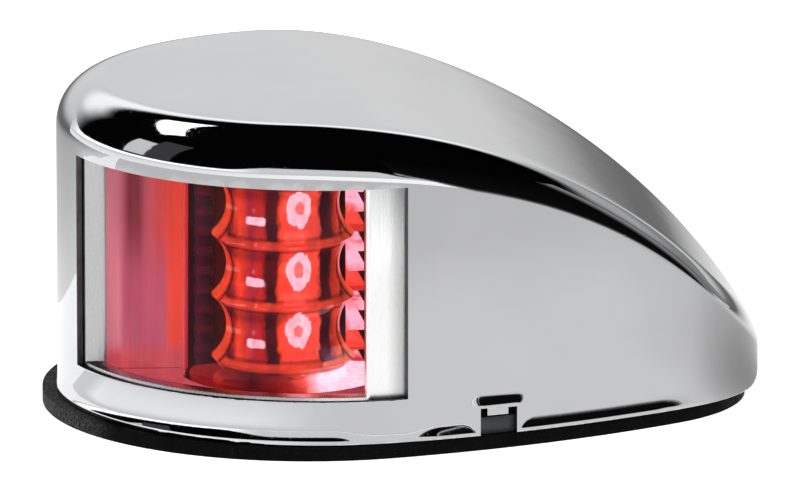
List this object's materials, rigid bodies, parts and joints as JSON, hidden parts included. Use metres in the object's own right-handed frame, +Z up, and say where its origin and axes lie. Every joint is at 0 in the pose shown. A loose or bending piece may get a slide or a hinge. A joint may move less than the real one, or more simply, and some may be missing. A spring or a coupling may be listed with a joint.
{
  "type": "port navigation light",
  "caption": "Teardrop deck-top port sidelight: mirror steel cover with a bow-quarter window, red lens, stacked ring optic, LED column, clip-on base and rubber gasket.",
  "frame": {"origin": "middle of the footprint, on the deck plane under the gasket", "axes": "+Z up from the deck, -X forward to the bow, +X aft to the low tail, -Y to port (the window's side)"},
  "size_m": [0.1078, 0.0806, 0.0494],
  "materials": {
    "polished_stainless": "mirror polished",
    "satin_stainless": "fine satin brushing",
    "zinc_steel": "plated, semi-bright",
    "cast_aluminium": "black anodised",
    "brass": "plain",
    "black_rubber": "matte, faintly speckled",
    "grey_silicone": "matte",
    "black_plastic": "moulded",
    "red_lens": "clear red, polished",
    "red_optic": "clear red, polished",
    "circuit_board": "solder mask",
    "ferrite": "matte",
    "chip_black": "matte",
    "flex_circuit": "amber film",
    "white_nylon": "moulded",
    "led_package": "clear dome on a white body",
    "red_insulation": "PVC",
    "black_insulation": "PVC"
  },
  "bodies": {
    "base": {"deck_gasket": "black_rubber", "base_plate": "black_plastic", "cable_grommet": "black_rubber", "lamp_carrier": "black_plastic", "module_cap": "black_plastic", "lens": "red_lens", "lens_bezel": "satin_stainless", "lens_seal_lower": "grey_silicone", "lens_seal_upper": "grey_silicone", "light_guide": "red_optic", "guide_cushion": "grey_silicone", "led_board": "circuit_board", "heat_sink": "cast_aluminium", "driver_board": "circuit_board", "driver_inductor": "ferrite", "driver_capacitor": "zinc_steel", "driver_chip": "chip_black", "driver_diode": "chip_black", "led_ribbon": "flex_circuit", "terminal_block": "white_nylon", "led_lower": "led_package", "led_middle": "led_package", "led_upper": "led_package", "module_screw_1": "zinc_steel", "module_screw_2": "zinc_steel", "module_screw_3": "zinc_steel", "cap_screw_1": "zinc_steel", "cap_screw_2": "zinc_steel", "driver_screw_1": "zinc_steel", "driver_screw_2": "zinc_steel", "terminal_screw_1": "brass", "terminal_screw_2": "brass", "lead_red": "red_insulation", "lead_black": "black_insulation"},
    "cover": {"housing": "polished_stainless"},
    "latch_port": {"release_latch_port": "black_plastic"},
    "latch_starboard": {"release_latch_starboard": "black_plastic"}
  },
  "joints": [
    {"name": "cover_lift", "type": "slide", "parent": "base", "child": "cover", "axis": [0, 0, 1], "range_m": [0, 0.055]},
    {"name": "latch_port_press", "type": "hinge", "parent": "base", "child": "latch_port", "pos_m": [0.02472, -0.02573, 0.0072], "axis": [0, 0, -1], "range_deg": [0, 6], "stiffness_Nm_per_rad": 0.5},
    {"name": "latch_starboard_press", "type": "hinge", "parent": "base", "child": "latch_starboard", "pos_m": [0.02472, 0.02573, 0.0072], "axis": [0, 0, 1], "range_deg": [0, 6], "stiffness_Nm_per_rad": 0.5}
  ]
}
